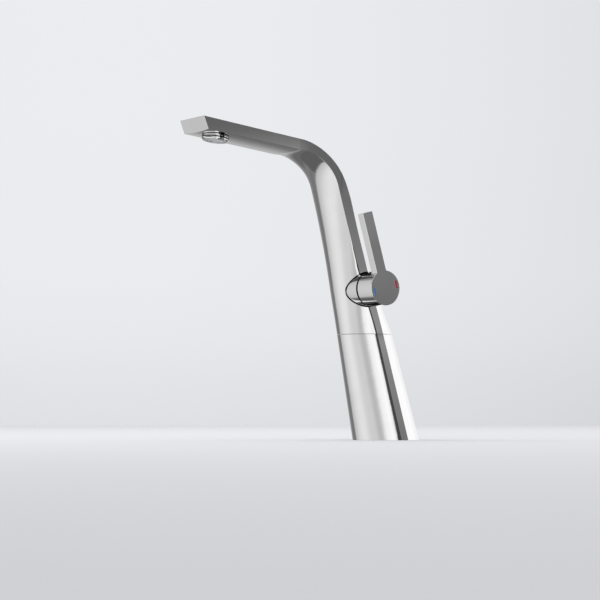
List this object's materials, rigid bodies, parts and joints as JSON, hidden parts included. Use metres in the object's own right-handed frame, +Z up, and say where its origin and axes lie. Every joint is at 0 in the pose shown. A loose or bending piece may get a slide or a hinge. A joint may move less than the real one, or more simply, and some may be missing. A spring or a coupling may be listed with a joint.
{
  "type": "single-lever mixer tap",
  "caption": "Deck-mounted single-lever kitchen mixer tap with a leaning column, a bent flat-arm spout that swivels on its foot, and a side lever.",
  "frame": {"origin": "centre of the foot where it sits on the deck", "axes": "+Z up, out of the deck; the spout reaches along -Y; the handle is on the +X side"},
  "size_m": [0.0893, 0.2586, 0.3716],
  "materials": {
    "chrome": "polished plate on cast brass",
    "brass": "machined",
    "steel": "plain stainless",
    "rubber": "matt moulded",
    "bearing_plastic": "natural acetal",
    "cartridge_plastic": "grey glass-filled moulding",
    "ceramic": "lapped white",
    "plug": "glossy grey",
    "cold": "glossy blue inlay",
    "hot": "glossy red inlay"
  },
  "bodies": {
    "base": {"base_body": "chrome", "bearing_seat": "brass", "base_gasket": "rubber", "mounting_stud": "steel", "rubber_cushion": "rubber", "clamp_plate": "steel", "mounting_nut": "steel", "bearing_bush": "bearing_plastic", "glide_ring": "bearing_plastic", "stop_pin": "steel"},
    "spout": {"spout_body": "chrome", "swivel_sleeve": "brass", "thrust_washer": "bearing_plastic", "retaining_clip": "steel", "aerator_housing": "chrome", "aerator_seal": "rubber", "aerator_insert": "cartridge_plastic", "cartridge_base": "cartridge_plastic", "port_seals": "rubber", "cartridge_housing": "cartridge_plastic", "fixed_disc": "ceramic", "cartridge_nut": "brass"},
    "mixer": {"cartridge_rotor": "cartridge_plastic", "pivot_pin": "steel"},
    "disc": {"moving_disc": "ceramic", "disc_carrier": "cartridge_plastic"},
    "lever": {"stem": "brass", "handle": "chrome", "grub_screw": "steel", "screw_plug": "plug", "cold_mark": "cold", "hot_mark": "hot"}
  },
  "joints": [
    {"name": "spout_swivel", "type": "hinge", "parent": "base", "child": "spout", "pos_m": [0, -0.0257, 0.1045], "axis": [0, 0, 1], "range_deg": [-60, 60]},
    {"name": "mix_turn", "type": "hinge", "parent": "spout", "child": "mixer", "pos_m": [0.0105, -0.0402, 0.1484], "axis": [1, 0, 0], "range_deg": [-45, 45]},
    {"name": "lever_lift", "type": "hinge", "parent": "mixer", "child": "lever", "pos_m": [0.0105, -0.0402, 0.1484], "axis": [0, 0.9598, 0.2807], "range_deg": [0, 12]},
    {"name": "disc_slide", "type": "slide", "parent": "mixer", "child": "disc", "axis": [0, -0.2807, 0.9598], "range_m": [0, 0.0017]}
  ],
  "couplings": [
    {"joint": "disc_slide", "follows": "lever_lift", "m_per_rad": 0.0079416}
  ]
}
